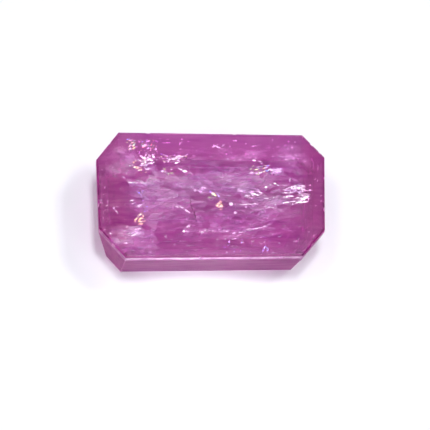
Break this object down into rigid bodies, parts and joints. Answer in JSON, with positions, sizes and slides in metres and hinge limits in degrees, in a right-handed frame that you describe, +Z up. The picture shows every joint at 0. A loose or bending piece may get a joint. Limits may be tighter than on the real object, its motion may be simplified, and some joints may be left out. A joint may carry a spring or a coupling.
{
  "type": "octagonal step-cut pink tourmaline gemstone",
  "caption": "Faceted pink tourmaline in a long octagonal step cut: wide table, thin stepped crown, steep pavilion and a flat culet it rests on.",
  "frame": {"origin": "under the middle of the stone, on the plane of its culet, which it rests on", "axes": "+X along the stone's length, +Y across it towards its back, +Z up out of the table"},
  "size_m": [0.014, 0.0088, 0.0041],
  "materials": {
    "tourmaline": "polished, clear magenta-pink crystal with white veils, feathers and needles inside"
  },
  "bodies": {
    "root": {"tourmaline": "tourmaline"}
  },
  "joints": []
}
